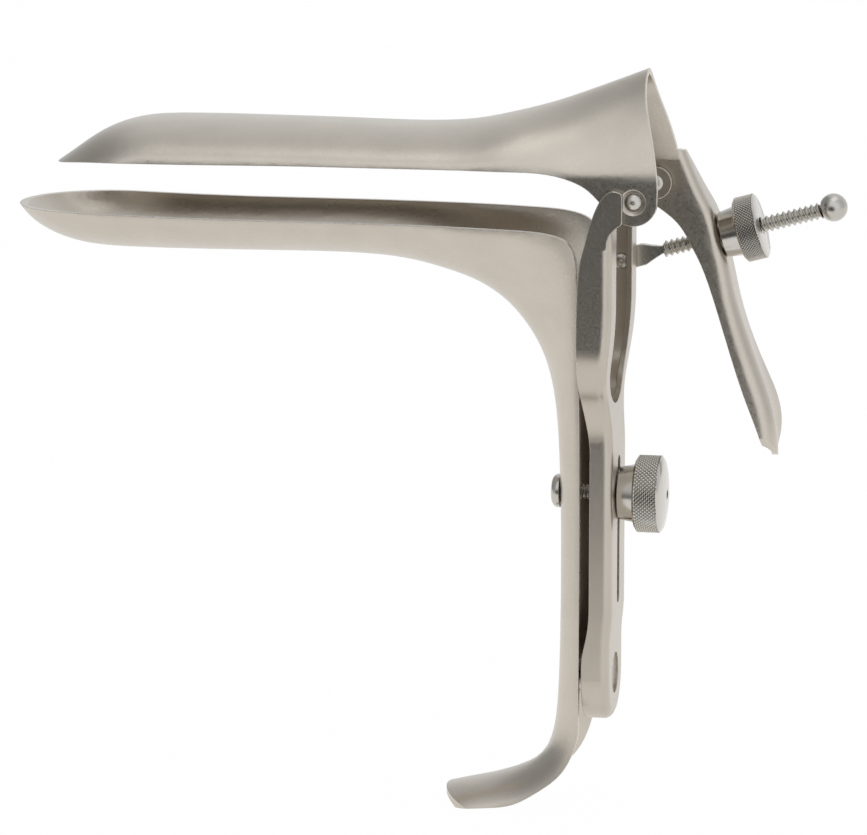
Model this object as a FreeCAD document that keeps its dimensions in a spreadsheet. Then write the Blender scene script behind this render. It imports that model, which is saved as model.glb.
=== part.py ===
import FreeCAD, Part
import Sketcher
import math
import os

# Bivalve speculum of satin stainless steel: two pressed trough blades, a pressed yoke, rivets, screws and nuts.
# The frame has its origin in the middle of the hinge axis. The blades point to -X and the thumb lever is at +X.
# The handle hangs down -Z, and +Y is the side of the thumb lever and the opening screw. Lengths are millimetres.

Vector = FreeCAD.Vector

SIZES = [
    # The three pressed sheets.
    ("blade_gauge", 1.2, "thickness of the sheet of both blades"),
    ("yoke_gauge", 1.2, "thickness of the sheet of the yoke"),
    ("blade_length", 114.2, "lower blade, from its tip to the front of the handle"),
    ("upper_setback", 9.5, "how far the upper blade's tip stands behind the lower one's"),
    ("tip_length", 17.0, "length of the rounded end of each blade, seen from above"),
    ("lower_half_width", 18.0, "half of the lower blade's width"),
    ("upper_inset", 0.7, "how far the upper blade's side stands in from the lower one's"),
    ("lower_edge_drop", 5.5, "depth of the lower blade's edges under the hinge"),
    ("upper_edge_rise", 5.7, "height of the upper blade's edges over the hinge"),
    ("trough_depth", 8.0, "depth of both trough sections"),
    # The mouth of the upper blade, its ears and its thumb lever.
    ("mouth_height", 25.2, "height of the mouth's crown over the hinge"),
    ("ear_inset", 1.6, "how far an ear's outer face stands in from the lower blade's side"),
    ("ear_radius", 4.8, "radius of an ear round the hinge"),
    ("rim_reach", 4.8, "how far the rim stands behind the hinge, just above the ears"),
    ("ear_dimple", 0.5, "depth of the dimple round a pivot rivet in the ear"),
    ("dimple_radius", 2.0, "radius of that dimple's floor"),
    ("web_step", 0.08, "how far the lever's web stands in from the ear's face"),
    ("lever_bend_top", 1.6, "outer radius of the bend between web and plate, at the top"),
    ("lever_bend_low", 3.4, "outer radius of that bend at the thumb"),
    ("thumb_dish", 0.9, "depth of the dish for the thumb"),
    ("thumb_width", 14.5, "width of the lever's rear plate at the thumb"),
    ("plate_width", 9.0, "width of the lever's rear plate at the opening screw"),
    ("lever_slot_side", 2.1, "half width of the slot for the opening screw"),
    ("lever_slot_reach", 3.0, "half length of that slot"),
    # The handle.
    ("handle_front", 16.8, "from the hinge to the front of the handle"),
    ("handle_back", 11.6, "from the hinge to the handle's rear edges"),
    ("handle_half_width", 10.0, "half of the handle's width"),
    ("handle_drop", 112.0, "depth of the point where the lip starts to curl"),
    ("lip_length", 24.0, "how far the lip reaches forward of the handle"),
    ("lip_end_length", 8.0, "length of the rounded end of the lip"),
    # The yoke.
    ("flange_gap", 0.4, "gap between an ear and the yoke's flange"),
    ("lug_gap", 0.45, "gap between an ear and the yoke's lug"),
    ("lug_radius", 3.4, "radius of a lug round the hinge"),
    ("arm_setback", 4.2, "from the hinge forward to the rear face of the arms"),
    ("stem_setback", 5.0, "from the hinge forward to the rear face of the stem"),
    ("arm_strip", 7.4, "width of the rear strip of an arm"),
    ("yoke_bend", 1.9, "outer radius of the bend round the yoke"),
    ("flange_top", 2.4, "height of the flange's top over the hinge"),
    ("tab_setback", 2.0, "from the hinge forward to the rear edge of the flange's tab"),
    ("strip_top_drop", 5.6, "depth of the upper end of the rear strip"),
    ("shoulder_top_drop", 30.0, "depth where the arms start to turn in"),
    ("shoulder_length", 20.5, "length of the shoulders"),
    ("stem_half_width", 9.6, "half of the stem's width"),
    ("foot_drop", 100.4, "depth of the middle of the foot"),
    ("foot_setback", 5.5, "from the hinge forward to the rear face of the foot"),
    ("opening_bottom_drop", 43.6, "depth of the bottom of the opening between the arms"),
    ("belly_reach", 11.2, "from the hinge forward to the flange where it meets the handle"),
    ("waist_reach", 9.6, "from the hinge forward to the flange of the stem"),
    # The stem's slot and the clamp.
    ("slot_top_drop", 54.6, "depth of the slot's upper end"),
    ("slot_length", 31.0, "length of the slot from end to end"),
    ("clamp_drop", 62.5, "depth of the clamp screw"),
    ("clamp_shank_radius", 1.5, "radius of the clamp screw's thread"),
    ("slot_clearance", 0.2, "gap at each side of the clamp screw in the slot"),
    ("clamp_head_radius", 3.5, "radius of the clamp screw's head"),
    ("clamp_head_height", 1.9, "height of the clamp screw's domed head"),
    ("clamp_neck_half", 1.9, "half width of the clamp screw's square neck"),
    ("neck_clearance", 0.05, "gap round the square neck in the handle"),
    ("neck_length", 2.6, "length of the square neck"),
    ("head_seat_gap", 0.2, "gap between the head and the middle of the handle's front"),
    ("nut_seat_gap", 0.2, "gap between the clamp nut and the stem"),
    ("clamp_collar_front_radius", 5.4, "radius of the clamp nut's collar at the stem"),
    ("clamp_collar_back_radius", 6.1, "radius of the clamp nut's collar at the knurl"),
    ("clamp_collar_length", 3.5, "length of the clamp nut's collar"),
    ("clamp_knurl_radius", 8.0, "radius of the clamp nut's knurl"),
    ("clamp_knurl_length", 5.4, "length of the clamp nut's knurl"),
    ("nut_crown", 1.0, "height of the clamp nut's domed end"),
    ("screw_end_recess", 1.6, "depth of the clamp screw's end inside its nut"),
    ("nut_chamfer", 0.6, "chamfer of both nuts"),
    ("thread_clearance", 0.06, "gap between a nut and its screw"),
    # The opening screw.
    ("eye_setback", 3.2, "from the arm's rear face forward to the middle of the eye"),
    ("eye_drop", 16.9, "depth of the middle of the eye"),
    ("eye_rise", 15.4, "angle at which the opening screw rises to the rear"),
    ("eye_radius", 3.15, "radius of the flattened eye"),
    ("eye_thickness", 2.0, "thickness of the flattened eye"),
    ("eye_bar_half", 2.1, "half width of the flattened bar behind the eye"),
    ("eye_bar_length", 4.4, "length of the flattened bar behind the eye's middle"),
    ("eye_gap", 0.2, "gap between the eye and the yoke"),
    ("screw_neck_radius", 1.2, "radius of the opening screw's neck"),
    ("screw_neck_start", 7.6, "from the eye's middle to the neck"),
    ("screw_neck_length", 1.0, "length of the neck"),
    ("opening_screw_radius", 1.75, "radius of the opening screw's thread"),
    ("opening_screw_length", 45.3, "from the eye's middle to the middle of the ball"),
    ("ball_radius", 2.9, "radius of the ball on the opening screw"),
    ("ball_socket_depth", 1.9, "how deep the screw's end sits in the ball"),
    ("opening_collar_front_radius", 4.75, "radius of the opening nut's collar at the lever"),
    ("opening_collar_back_radius", 5.25, "radius of the opening nut's collar at the knurl"),
    ("opening_collar_length", 3.5, "length of the opening nut's collar"),
    ("opening_knurl_radius", 6.85, "radius of the opening nut's knurl"),
    ("opening_knurl_length", 4.7, "length of the opening nut's knurl"),
    ("lever_gap", 0.35, "gap between the opening nut and the lever"),
    # The rivets and the guide stud.
    ("pivot_radius", 1.25, "radius of the pivot rivets"),
    ("pivot_clearance", 0.05, "gap round a rivet in the piece that turns on it"),
    ("rivet_head_radius", 1.7, "radius of a rivet's domed head"),
    ("rivet_head_height", 0.8, "height of a rivet's domed head"),
    ("rivet_seat_gap", 0.1, "gap between a rivet's head and the piece that turns"),
    ("rivet_tail_height", 0.35, "height of a rivet's peened tail"),
    ("stud_radius", 4.3, "radius of the guide stud in the foot's hole"),
    ("stud_recess", 0.5, "depth of the stud's face in that hole"),
    ("stud_dish_depth", 0.4, "depth of the dish in the stud's face"),
    ("stud_head_radius", 6.4, "radius of the stud's head in the handle's channel"),
    ("stud_head_height", 1.6, "height of the stud's head"),
    ("stud_nose_radius", 4.0, "radius of the stud's nose"),
    ("stud_reach", 12.6, "from the hinge forward to the end of the nose"),
]

os.makedirs("parts", exist_ok=True)
doc = FreeCAD.newDocument("bivalve_speculum")
sheet = doc.addObject("Spreadsheet::Sheet", "Sizes")
for row, (alias, amount, meaning) in enumerate(SIZES, start=1):
    sheet.set(f"A{row}", meaning)
    sheet.set(f"B{row}", str(amount))
    sheet.setAlias(f"B{row}", alias)
doc.recompute()


def size(alias):
    return float(sheet.get(alias))


def total(words):
    """The value of names joined by + and -, such as "ear_half_width - blade_gauge"."""
    amount = 0.0
    sign = 1
    for word in words.split():
        if word in ("+", "-"):
            sign = 1 if word == "+" else -1
        elif word != "0":
            amount += sign * size(word)
    return amount


def formula(words):
    """The same sum as an expression that reads the sheet."""
    return " ".join(word if word in ("+", "-", "0") else "Sizes." + word for word in words.split())


def plane(body, role):
    for feature in body.Origin.OriginFeatures:
        if feature.Role == role:
            return feature


def new_sketch(body, name, role):
    sketch = body.newObject("Sketcher::SketchObject", name)
    sketch.AttachmentSupport = [(plane(body, role), "")]
    sketch.MapMode = "FlatFace"
    return sketch


def pin_vertex(sketch, edge, end, across, up):
    """Hold a sketch point at two sums of sizes from the sketch's origin."""
    for kind, words, axis in (("DistanceX", across, -2), ("DistanceY", up, -1)):
        if words == "0":
            sketch.addConstraint(Sketcher.Constraint("PointOnObject", edge, end, axis))
            continue
        number = sketch.addConstraint(Sketcher.Constraint(kind, -1, 1, edge, end, total(words)))
        sketch.setExpression(f"Constraints[{number}]", formula(words))


def closed_outline(sketch, corners):
    """A closed outline through corners (across, up, kind). A side that starts with kind "dome" is an arc whose
    centre lies on the sketch's horizontal axis, and the others are straight."""
    spots = [Vector(total(across), total(up), 0) for across, up, kind in corners]
    ends = []
    for index, (across, up, kind) in enumerate(corners):
        start = spots[index]
        finish = spots[(index + 1) % len(spots)]
        if kind == "dome":
            squares = finish.x ** 2 + finish.y ** 2 - start.x ** 2 - start.y ** 2
            centre = Vector(squares / (2 * (finish.x - start.x)), 0, 0)
            angles = [math.atan2(spot.y, spot.x - centre.x) for spot in (start, finish)]
            low, high = min(angles), max(angles)
            circle = Part.Circle(centre, Vector(0, 0, 1), (start - centre).Length)
            edge = sketch.addGeometry(Part.ArcOfCircle(circle, low, high), False)
            sketch.addConstraint(Sketcher.Constraint("PointOnObject", edge, 3, -1))
            ends.append((edge, 1, 2) if angles[0] < angles[1] else (edge, 2, 1))
        else:
            edge = sketch.addGeometry(Part.LineSegment(start, finish), False)
            ends.append((edge, 1, 2))
    for index, (across, up, kind) in enumerate(corners):
        edge, first, last = ends[index]
        before, before_first, before_last = ends[index - 1]
        sketch.addConstraint(Sketcher.Constraint("Coincident", before, before_last, edge, first))
        pin_vertex(sketch, edge, first, across, up)


def turned(label, corners, placement):
    """A piece turned about its own X axis from corners (along, radius, kind)."""
    body = doc.addObject("PartDesign::Body", label)
    body.Label = label
    profile = new_sketch(body, label + "_profile", "XY_Plane")
    closed_outline(profile, corners)
    turning = body.newObject("PartDesign::Revolution", label + "_turning")
    turning.Profile = profile
    turning.ReferenceAxis = (profile, ["H_Axis"])
    turning.Angle = 360
    body.Placement = placement
    doc.recompute()
    return body


def formed(label, shape):
    piece = doc.addObject("Part::Feature", label)
    piece.Label = label
    piece.Shape = shape
    return piece


def spline(points, tangents=None):
    curve = Part.BSplineCurve()
    if tangents:
        curve.interpolate(Points=points, InitialTangent=tangents[0], FinalTangent=tangents[1])
    else:
        curve.interpolate(Points=points)
    return curve


def side(x, z):
    return Vector(x, 0, z)


def line(start, finish):
    return Part.makeLine(start, finish)


def chain(points):
    return [line(points[i], points[i + 1]) for i in range(len(points) - 1)]


def prism(edges, start, run):
    """The solid swept by a closed outline from start along run."""
    face = Part.Face(Part.Wire(Part.__sortEdges__(edges)))
    face.translate(start)
    return face.extrude(run)


def across(edges, low, high):
    """A prism of an outline in the side view, from Y = low to Y = high."""
    return prism(edges, Vector(0, low, 0), Vector(0, high - low, 0))


def drilled(radius, start, run):
    return Part.makeCylinder(radius, run.Length, start, run)


def between(stations, rows):
    """Sections at even steps along a pressed sheet, smoothly through the given stations. A station is the middle
    line's x and z, the edge line's x and z, the half width, the height of the plain wall beyond the edge line, and
    the two powers that shape the section: how flat its middle is and how upright its sides stand."""
    reach = [0.0]
    for before, after in zip(stations, stations[1:]):
        step = Vector(after[0] + after[2] - before[0] - before[2], 0, after[1] + after[3] - before[1] - before[3])
        reach.append(reach[-1] + step.Length / 2)
    lines = []
    for picked in ((0, 1, 4), (2, 3, 5)):
        curve = Part.BSplineCurve()
        curve.interpolate(Points=[Vector(*[station[i] for i in picked]) for station in stations], Parameters=reach)
        lines.append(curve)
    for row in range(rows):
        at = reach[-1] * row / (rows - 1)
        passed = max(index for index, mark in enumerate(reach[:-1]) if mark <= at)
        share = (at - reach[passed]) / (reach[passed + 1] - reach[passed])
        powers = [stations[passed][i] * (1 - share) + stations[passed + 1][i] * share for i in (6, 7)]
        yield lines[0].value(at), lines[1].value(at), powers


def section_points(middle, edge, powers, columns):
    """Evenly spaced points round one section, from the far edge over the middle to the near edge."""
    centre = side(middle.x, middle.y)
    half_width = middle.z
    depth = side(edge.x, edge.y) - centre
    downwards = Vector(depth)
    downwards.normalize()
    dense = []
    for step in range(241):
        out = math.sin(math.pi / 2 * step / 240)
        fall = 1 - max(0.0, 1 - out ** powers[0]) ** (1 / powers[1])
        dense.append(centre + depth * fall + Vector(0, half_width * out, 0))
    dense.append(dense[-1] + downwards * edge.z)
    travelled = [0.0]
    for before, after in zip(dense, dense[1:]):
        travelled.append(travelled[-1] + (after - before).Length)
    half = []
    index = 0
    for column in range(columns):
        target = travelled[-1] * column / (columns - 1)
        while index < len(dense) - 2 and travelled[index + 1] < target:
            index += 1
        share = (target - travelled[index]) / (travelled[index + 1] - travelled[index])
        half.append(dense[index] + (dense[index + 1] - dense[index]) * share)
    near = [Vector(spot.x, -spot.y, spot.z) for spot in half[1:]]
    return half[::-1] + near


def pressed_sheet(outer, gauge):
    """A solid sheet of even thickness, laid inside the surface through rows of points."""
    last_row = len(outer) - 1
    last_column = len(outer[0]) - 1
    inner = []
    for i, points in enumerate(outer):
        heart = (points[0] + points[last_column]) / 2
        shifted = []
        for j, spot in enumerate(points):
            along = outer[min(i + 1, last_row)][j] - outer[max(i - 1, 0)][j]
            round_it = points[min(j + 1, last_column)] - points[max(j - 1, 0)]
            normal = along.cross(round_it)
            normal.normalize()
            if normal.dot(heart - spot) < 0:
                normal = normal * -1
            shifted.append(spot + normal * gauge)
        inner.append(shifted)
    faces = []
    for grid in (outer, inner):
        surface = Part.BSplineSurface()
        surface.interpolate(grid)
        faces.append(surface)
    borders = []
    for surface in faces:
        low_u, high_u, low_v, high_v = surface.bounds()
        borders.append([surface.uIso(low_u), surface.uIso(high_u), surface.vIso(low_v), surface.vIso(high_v)])
    skins = [surface.toShape() for surface in faces]
    for outer_line, inner_line in zip(*borders):
        skins.append(Part.makeRuledSurface(outer_line.toShape(), inner_line.toShape()))
    shell = Part.makeShell(skins)
    shell.sewShape()
    solid = Part.makeSolid(shell)
    if solid.Volume < 0:
        solid.reverse()
    return solid


def pressed_shell(stations, gauge, rows, columns):
    """The sheet of a trough, with its outer face through the sections."""
    return pressed_sheet([section_points(*section, columns) for section in between(stations, rows)], gauge)


def offset_line(curve, distance, steps=24):
    """Points beside a curve in the side view, at one distance from it towards the handle."""
    first, last = curve.FirstParameter, curve.LastParameter
    points = []
    for step in range(steps + 1):
        at = first + (last - first) * step / steps
        direction = curve.tangent(at)[0]
        points.append(curve.value(at) + Vector(direction.z, 0, -direction.x) * distance)
    return points


def end_waste(tip_x, length, half_width, low, high):
    """What is cut off round the elliptical end of a sheet, seen from above, between two heights."""
    margin = 6.0
    blank = Part.makeBox(length + margin, 2 * (half_width + margin), high - low,
                         Vector(tip_x - margin, -half_width - margin, low))
    kept = Part.makeCylinder(half_width, high - low, Vector(0, 0, low))
    stretch = FreeCAD.Matrix()
    stretch.scale(length / half_width, 1, 1)
    stretch.move(Vector(tip_x + length, 0, 0))
    return blank.cut(kept.transformGeometry(stretch))


# The upper blade. Its trough rises into the mouth, whose walls end in the two ears.
lower_tip = -size("handle_front") - size("blade_length")
upper_tip = lower_tip + size("upper_setback")
rise = size("upper_edge_rise")
crown = rise + size("trough_depth")
half = size("lower_half_width") - size("upper_inset")
ear_half = size("lower_half_width") - size("ear_inset")
mouth = size("mouth_height")
ear_wall = 11.0
upper_stations = [
    (upper_tip - 0.6, rise - 1.6, upper_tip - 0.6, rise - 10.4, half, ear_wall, 2.2, 1.8),
    (upper_tip + 3.4, rise + 1.2, upper_tip + 3.4, rise - 7.6, half, ear_wall, 2.2, 1.8),
    (upper_tip + 8.6, rise + 4.6, upper_tip + 8.6, rise - 4.4, half, ear_wall, 2.2, 1.8),
    (upper_tip + 16.0, crown - 0.8, upper_tip + 16.0, rise - 0.9, half, ear_wall, 2.3, 1.6),
    (upper_tip + 26.0, crown, upper_tip + 26.0, rise - 0.2, half, ear_wall, 2.3, 1.55),
    (-78.0, crown, -78.0, rise, half, ear_wall, 2.3, 1.55),
    (-60.0, crown - 0.2, -60.0, rise, half, ear_wall, 2.3, 1.55),
    (-44.0, crown - 0.3, -44.0, rise, half, ear_wall, 2.3, 1.55),
    (-34.5, crown + 0.5, -34.5, rise, half, ear_wall, 2.2, 1.5),
    (-26.6, crown + 2.2, -26.6, rise, half, ear_wall, 2.2, 1.5),
    (-18.7, mouth - 7.1, -18.7, rise - 0.3, ear_half + 0.3, ear_wall, 2.0, 1.35),
    (-10.8, mouth - 4.3, -10.8, rise - 0.6, ear_half, ear_wall, 1.9, 1.2),
    (-3.0, mouth - 1.3, -3.0, rise - 0.7, ear_half, ear_wall, 1.8, 1.12),
    (3.4, mouth + 1.2, 3.4, rise - 0.7, ear_half, ear_wall, 1.8, 1.1),
    (8.0, mouth + 3.0, 8.0, rise - 0.7, ear_half, ear_wall, 1.8, 1.1),
]
upper_shell = pressed_shell(upper_stations, size("blade_gauge"), 40, 17)
upper_shell = upper_shell.cut(end_waste(upper_tip, size("tip_length"), half, -20.0, 40.0))

# The side trim of the upper blade: along its lower edge, round the ear and up the rim of the mouth.
ear = size("ear_radius")
rim = size("rim_reach")
trim_start = side(upper_tip - 8, rise - 2.4)
ear_start = side(-0.72 * ear, -0.694 * ear)
ear_end = side(0.995 * ear, 0.1 * ear)
upper_outline = [
    spline([trim_start, side(upper_tip, rise - 1.7), side(upper_tip + 5, rise - 0.9),
            side(upper_tip + 14, rise - 0.4), side(-94.0, rise - 0.3), side(-68.0, rise), side(-46.0, rise),
            side(-34.0, rise), side(-26.0, rise - 0.1), side(-18.3, rise - 0.4),
            side(-13.0, rise - 1.6), side(-9.4, rise - 3.4), side(-6.6, rise - 6.1), ear_start]).toShape(),
    Part.Arc(ear_start, side(0, -ear), ear_end).toShape(),
    spline([ear_end, side(rim, rim - 1.0), side(rim - 0.9, 0.369 * mouth), side(rim - 2.1, 0.56 * mouth),
            side(rim - 3.1, 0.702 * mouth), side(rim - 3.7, 0.81 * mouth), side(rim - 4.2, mouth),
            side(rim - 4.3, mouth + 6)]).toShape(),
]
upper_outline += chain([side(rim - 4.3, mouth + 6), side(upper_tip - 8, mouth + 6), trim_start])
pressed_upper = upper_shell.common(across(upper_outline, -30.0, 30.0))

# The thumb lever. The far ear runs on as a flat web, which is bent outward into a rear plate that the opening nut
# bears on and the thumb presses. The bend gets rounder towards the thumb, where the plate is dished.
web_face = ear_half - size("blade_gauge") - size("web_step")
plate_line = spline([side(3.0, 13.0), side(5.8, 6.6), side(8.1, 1.2), side(10.1, -2.9), side(11.9, -6.5),
                     side(13.3, -11.4), side(14.7, -16.3), side(16.2, -23.0), side(18.8, -31.6), side(21.8, -39.9),
                     side(23.9, -46.0), side(25.1, -51.5), side(25.5, -56.6), side(25.5, -61.0)])
web_top = spline([side(1.6, 9.6), side(3.1, 7.6), side(4.5, 6.75), side(5.8, 6.6)])
web_front = spline([side(-0.4, -0.98 * ear), side(1.8, -6.2), side(4.3, -8.3), side(5.9, -10.4), side(7.6, -13.5),
                    side(9.3, -16.8), side(10.8, -20.5), side(12.9, -26.8), side(15.9, -36.4), side(19.0, -45.4),
                    side(21.2, -51.0), side(22.6, -55.4), side(23.2, -60.0)])


def lever_row(share, columns):
    """Evenly spaced points across the lever: along the web, round the bend and over the plate."""
    first, last = plate_line.FirstParameter, plate_line.LastParameter
    at = first + (last - first) * share
    corner = plate_line.value(at)
    direction = plate_line.tangent(at)[0]
    inward = Vector(direction.z, 0, -direction.x)
    if inward.x > 0:
        inward = inward * -1
    bend = size("lever_bend_top") + (size("lever_bend_low") - size("lever_bend_top")) * min(1.0, 1.35 * share)
    dish = size("thumb_dish") * max(0.0, min(1.0, 2.6 * share - 1.3))
    breadth = size("thumb_width") + 3.0
    dense = [corner + inward * (10.0 - (10.0 - bend) * step / 40) + Vector(0, web_face, 0) for step in range(40)]
    for step in range(31):
        angle = math.pi / 2 * step / 30
        dense.append(corner + inward * (bend - bend * math.sin(angle))
                     + Vector(0, web_face + bend - bend * math.cos(angle), 0))
    for step in range(1, 61):
        out = step / 60
        sunk = dish * 0.5 * (1 - math.cos(2 * math.pi * min(1.0, out * 1.15)))
        dense.append(corner + inward * sunk + Vector(0, web_face + bend + (breadth - bend) * out, 0))
    travelled = [0.0]
    for before, after in zip(dense, dense[1:]):
        travelled.append(travelled[-1] + (after - before).Length)
    row = []
    index = 0
    for column in range(columns):
        target = travelled[-1] * column / (columns - 1)
        while index < len(dense) - 2 and travelled[index + 1] < target:
            index += 1
        part = (target - travelled[index]) / (travelled[index + 1] - travelled[index])
        row.append(dense[index] + (dense[index + 1] - dense[index]) * part)
    return row


lever_sheet = pressed_sheet([lever_row(step / 23, 26) for step in range(24)], size("blade_gauge"))
web_edges = [web_top.toShape(), web_front.toShape(), line(side(1.6, 9.6), side(-0.4, -0.98 * ear))]
web_edges += chain([web_top.EndPoint, side(40.0, 6.6), side(40.0, -60.0), web_front.EndPoint])
lever = lever_sheet.common(across(web_edges, 0.0, 40.0))


def rear(y, z):
    return Vector(0, y, z)


web_inner = ear_half - size("blade_gauge")
screw_edge = web_inner + size("plate_width")
thumb_edge = web_inner + size("thumb_width")
plate_outline = [spline([rear(web_inner + 2.6, 6.8), rear(screw_edge - 2.4, 0.0), rear(screw_edge, -8.0),
                         rear(screw_edge + 0.4, -20.0), rear(screw_edge + 1.6, -32.0), rear(thumb_edge - 1.2, -42.0),
                         rear(thumb_edge, -48.6), rear(thumb_edge - 1.8, -53.6), rear(thumb_edge - 6.4, -57.2),
                         rear(web_inner + 4.2, -57.0), rear(web_inner + 1.0, -54.6),
                         rear(web_inner - 1.4, -50.0)]).toShape()]
plate_outline += chain([rear(web_inner - 1.4, -50.0), rear(web_inner - 1.4, 12.0), rear(web_inner + 2.6, 12.0),
                        rear(web_inner + 2.6, 6.8)])
lever = lever.common(prism(plate_outline, Vector(-10, 0, 0), Vector(50, 0, 0)))

# Where the opening screw crosses the lever.
swing = math.radians(size("eye_rise"))
screw_axis = Vector(math.cos(swing), 0, math.sin(swing))
yoke_half = ear_half + size("flange_gap") + size("yoke_gauge")
screw_y = yoke_half + size("eye_gap") + size("eye_thickness") / 2
eye = Vector(-size("arm_setback") - size("eye_setback"), screw_y, -size("eye_drop"))
screw_line = line(eye - Vector(0, screw_y, 0), eye - Vector(0, screw_y, 0) + screw_axis * 60)
crossing = screw_line.distToShape(plate_line.toShape())[1][0][0]
lever_distance = (crossing - Vector(eye.x, 0, eye.z)).Length

slot_side = size("lever_slot_side")
slot_reach = size("lever_slot_reach") - slot_side
slot_centre = Vector(crossing.x, screw_y, crossing.z)
lever_up = Vector(-math.sin(swing), 0, math.cos(swing))
slot_tool = Part.makeBox(2 * slot_reach, 2 * slot_side, 12, Vector(-slot_reach, -slot_side, -6))
for end in (-1, 1):
    slot_tool = slot_tool.fuse(Part.makeCylinder(slot_side, 12, Vector(end * slot_reach, 0, -6)))
slot_tool.Placement = FreeCAD.Placement(slot_centre, FreeCAD.Rotation(lever_up, Vector(0, 1, 0), screw_axis, "XYZ"))
lever = lever.cut(slot_tool)

pivot_hole = drilled(size("pivot_radius") + size("pivot_clearance"), Vector(0, -30, 0), Vector(0, 60, 0))
dimples = [pivot_hole]
for hand in (-1, 1):
    floor = Vector(0, hand * (ear_half - size("ear_dimple")), 0)
    dimple_floor = size("dimple_radius")
    dimples.append(Part.makeCone(dimple_floor, dimple_floor + 2.4, 2.0, floor, Vector(0, hand, 0)))
upper_blade = formed("upper_blade", pressed_upper.fuse(lever).cut(dimples).removeSplitter())

# The lower blade. Its trough deepens into the saddle bend, and the same sheet runs down as the handle's channel
# and curls forward into the lip.
drop = size("lower_edge_drop")
keel = drop + size("trough_depth")
low_half = size("lower_half_width")
front = -size("handle_front")
back = -size("handle_back")
grip_half = size("handle_half_width")
curl = -size("handle_drop")
lip_tip = front - size("lip_length")
plain_wall = 3.0
lower_stations = [
    (lower_tip - 2.0, -drop + 2.6, lower_tip - 2.0, -drop + 34.0, low_half, plain_wall, 2.2, 1.6),
    (lower_tip, -drop + 0.6, lower_tip, -drop + 27.0, low_half, plain_wall, 2.2, 1.6),
    (lower_tip + 3.2, -drop - 3.0, lower_tip + 3.2, -drop + 15.5, low_half, plain_wall, 2.2, 1.6),
    (lower_tip + 8.0, -drop - 5.8, lower_tip + 8.0, -drop + 7.6, low_half, plain_wall, 2.2, 1.6),
    (lower_tip + 15.0, -keel + 0.3, lower_tip + 15.0, -drop + 1.9, low_half, plain_wall, 2.2, 1.5),
    (lower_tip + 25.0, -keel - 0.3, lower_tip + 25.0, -drop + 0.3, low_half, plain_wall, 2.3, 1.5),
    (-88.0, -keel - 0.3, -88.0, -drop, low_half, plain_wall, 2.3, 1.5),
    (-70.0, -keel - 0.1, -70.0, -drop, low_half, plain_wall, 2.3, 1.5),
    (-58.0, -keel - 0.2, -57.0, -drop, low_half, plain_wall, 2.3, 1.5),
    (-49.0, -keel - 1.0, -46.0, -drop - 0.1, low_half, plain_wall, 2.2, 1.5),
    (-40.5, -keel - 3.0, -35.0, -drop - 0.3, low_half, plain_wall, 2.2, 1.6),
    (-32.8, -keel - 6.1, -25.5, -drop - 0.6, low_half - 0.2, plain_wall, 2.1, 1.5),
    (-26.4, -keel - 11.2, -17.5, -drop - 1.4, low_half - 0.8, plain_wall, 2.0, 1.5),
    (-22.0, -keel - 17.3, -12.9, -drop - 4.2, low_half - 1.9, plain_wall, 2.0, 1.5),
    (-19.3, -keel - 24.0, back + 0.1, -drop - 11.5, low_half - 3.4, plain_wall, 2.0, 1.5),
    (front - 1.0, -keel - 32.0, back, -drop - 23.0, low_half - 5.2, plain_wall, 2.1, 1.5),
    (front - 0.3, -56.0, back, -44.0, grip_half + 1.0, plain_wall, 2.2, 1.6),
    (front, -68.0, back, -64.0, grip_half, plain_wall, 2.2, 1.5),
    (front, -88.0, back, -88.0, grip_half, plain_wall, 2.2, 1.5),
    (front - 0.4, curl + 8.0, back, curl + 6.5, grip_half, plain_wall, 2.2, 1.5),
    (front - 1.7, curl - 1.8, back - 0.6, curl - 2.2, grip_half, plain_wall, 2.2, 1.5),
    (front - 4.4, curl - 6.6, back - 3.6, curl - 8.6, grip_half, plain_wall, 2.2, 1.5),
    (front - 9.0, curl - 9.4, front - 4.4, curl - 13.8, grip_half, plain_wall, 2.2, 1.5),
    (front - 15.0, curl - 11.4, front - 12.4, curl - 16.4, grip_half, plain_wall, 2.2, 1.5),
    (lip_tip, curl - 13.6, lip_tip + 1.4, curl - 18.6, grip_half, plain_wall, 2.2, 1.5),
]
pressed_lower = pressed_shell(lower_stations, size("blade_gauge"), 60, 12)

# The side trim of the lower blade: its edges, the corner of the saddle, the handle's rear edges and the lip's edges.
lower_edge = [side(lower_tip - 8, -drop + 0.5), side(lower_tip + 2.0, -drop + 0.5), side(lower_tip + 8.0, -drop + 0.5),
              side(lower_tip + 15.0, -drop + 0.5), side(lower_tip + 25.0, -drop + 0.3), side(-88.0, -drop),
              side(-70.0, -drop), side(-57.0, -drop), side(-46.0, -drop - 0.1), side(-35.0, -drop - 0.3),
              side(-25.5, -drop - 0.6), side(-17.5, -drop - 1.3), side(-13.4, -drop - 3.0),
              side(back, -drop - 8.0), side(back, -drop - 16.0)]
handle_edge = [side(back, -drop - 16.0), side(back, -44.0), side(back, curl + 4.0)]
lip_edge = [side(back, curl + 4.0), side(back, curl + 0.8), side(back - 0.9, curl - 3.0), side(back - 3.6, curl - 8.2),
            side(front - 3.4, curl - 12.4), side(front - 8.4, curl - 15.2), side(front - 15.0, curl - 16.3),
            side(lip_tip, curl - 17.2), side(lip_tip - 6, curl - 18.0)]
lower_outline = [spline(lower_edge, (Vector(1, 0, 0), Vector(0, 0, -1))).toShape()]
lower_outline += chain(handle_edge)
lower_outline += [spline(lip_edge, (Vector(0, 0, -1), Vector(-1, 0, -0.14))).toShape()]
lower_outline += chain([side(lip_tip - 6, curl - 18.0), side(lip_tip - 6, -40.0), side(lower_tip - 8, -40.0),
                        side(lower_tip - 8, -drop + 0.5)])
pressed_lower = pressed_lower.common(across(lower_outline, -30.0, 30.0))
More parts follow.
